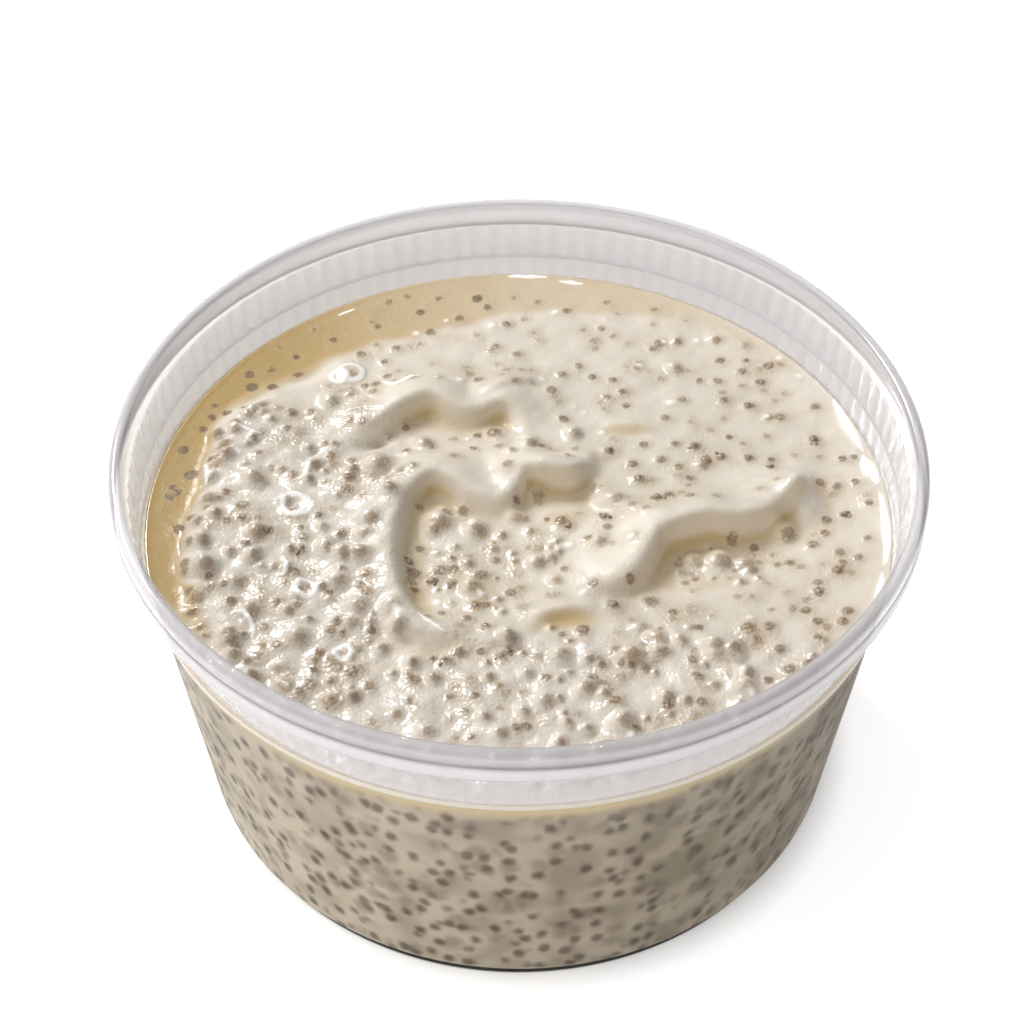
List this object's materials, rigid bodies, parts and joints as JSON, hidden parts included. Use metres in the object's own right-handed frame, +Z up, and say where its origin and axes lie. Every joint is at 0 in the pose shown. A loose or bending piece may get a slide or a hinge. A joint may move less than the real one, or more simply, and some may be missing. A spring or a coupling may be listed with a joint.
{
  "type": "thiakry in a tub",
  "caption": "Creamy millet pudding with a folded, grainy top in an open, low, round clear plastic tub with a rolled rim and a skirt.",
  "frame": {"origin": "centre of the tub's base, on the surface that it stands on", "axes": "+Z up along the tub's axis, -Y towards the viewer of the picture, +X to the viewer's right"},
  "size_m": [0.117, 0.117, 0.0627],
  "materials": {
    "clear_plastic": "translucent gloss",
    "millet_cream": "wet cream with grains"
  },
  "bodies": {
    "root": {"tub": "clear_plastic", "pudding": "millet_cream"}
  },
  "joints": []
}
